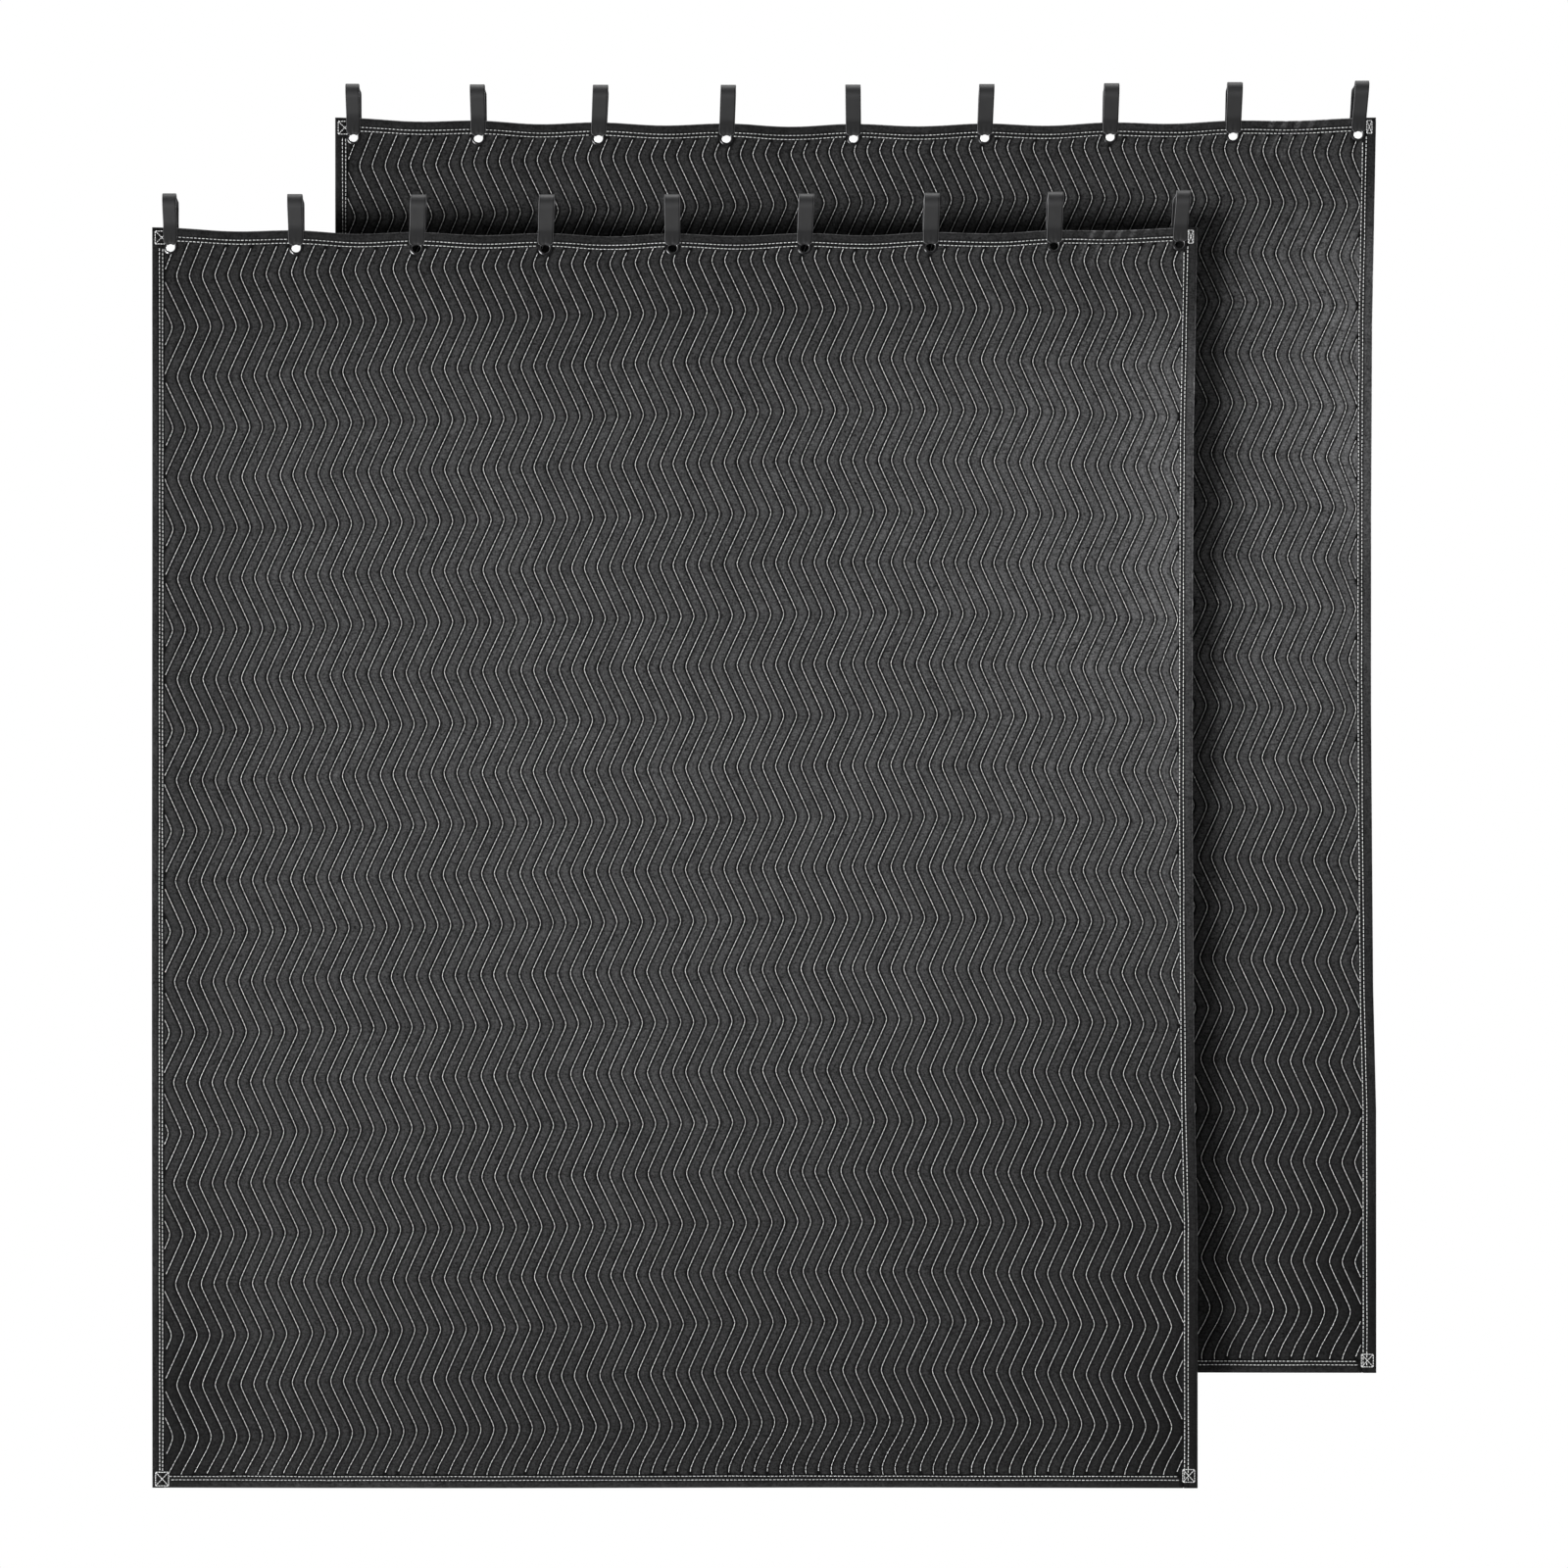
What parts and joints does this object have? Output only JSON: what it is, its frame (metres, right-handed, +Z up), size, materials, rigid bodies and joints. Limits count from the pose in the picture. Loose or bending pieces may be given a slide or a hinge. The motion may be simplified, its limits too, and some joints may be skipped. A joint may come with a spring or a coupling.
{
  "type": "pair of hung quilted sound dampening blankets with strap loops",
  "caption": "Quilted sound dampening blankets that hang face on, one behind the other, from webbing loops threaded through eyelets along their bound top edges.",
  "frame": {"origin": "middle of the front blanket's hanging line, at mid-width and at the centre of its strap loops' tops", "axes": "+Z up, along the blankets' height; +X right, along the hanging line as seen from the front; +Y back, from the front blanket to the rear one, so the fronts face -Y"},
  "size_m": [2.384, 0.1084, 2.7414],
  "materials": {
    "quilted_cloth": "matt charcoal woven polyester over padding",
    "binding_cloth": "matt black folded strip",
    "webbing": "smooth dark grey flat webbing",
    "eyelet_metal": "glossy black",
    "thread": "white polyester thread"
  },
  "bodies": {
    "root": {"front_panel": "quilted_cloth", "front_binding_top": "binding_cloth", "front_binding_bottom": "binding_cloth", "front_binding_left": "binding_cloth", "front_binding_right": "binding_cloth", "front_strap_1": "webbing", "front_eyelet_1": "eyelet_metal", "front_strap_2": "webbing", "front_eyelet_2": "eyelet_metal", "front_strap_3": "webbing", "front_eyelet_3": "eyelet_metal", "front_strap_4": "webbing", "front_eyelet_4": "eyelet_metal", "front_strap_5": "webbing", "front_eyelet_5": "eyelet_metal", "front_strap_6": "webbing", "front_eyelet_6": "eyelet_metal", "front_strap_7": "webbing", "front_eyelet_7": "eyelet_metal", "front_strap_8": "webbing", "front_eyelet_8": "eyelet_metal", "front_strap_9": "webbing", "front_eyelet_9": "eyelet_metal", "rear_panel": "quilted_cloth", "rear_binding_top": "binding_cloth", "rear_binding_bottom": "binding_cloth", "rear_binding_left": "binding_cloth", "rear_binding_right": "binding_cloth", "rear_strap_1": "webbing", "rear_eyelet_1": "eyelet_metal", "rear_strap_2": "webbing", "rear_eyelet_2": "eyelet_metal", "rear_strap_3": "webbing", "rear_eyelet_3": "eyelet_metal", "rear_strap_4": "webbing", "rear_eyelet_4": "eyelet_metal", "rear_strap_5": "webbing", "rear_eyelet_5": "eyelet_metal", "rear_strap_6": "webbing", "rear_eyelet_6": "eyelet_metal", "rear_strap_7": "webbing", "rear_eyelet_7": "eyelet_metal", "rear_strap_8": "webbing", "rear_eyelet_8": "eyelet_metal", "rear_strap_9": "webbing", "rear_eyelet_9": "eyelet_metal"}
  },
  "joints": []
}
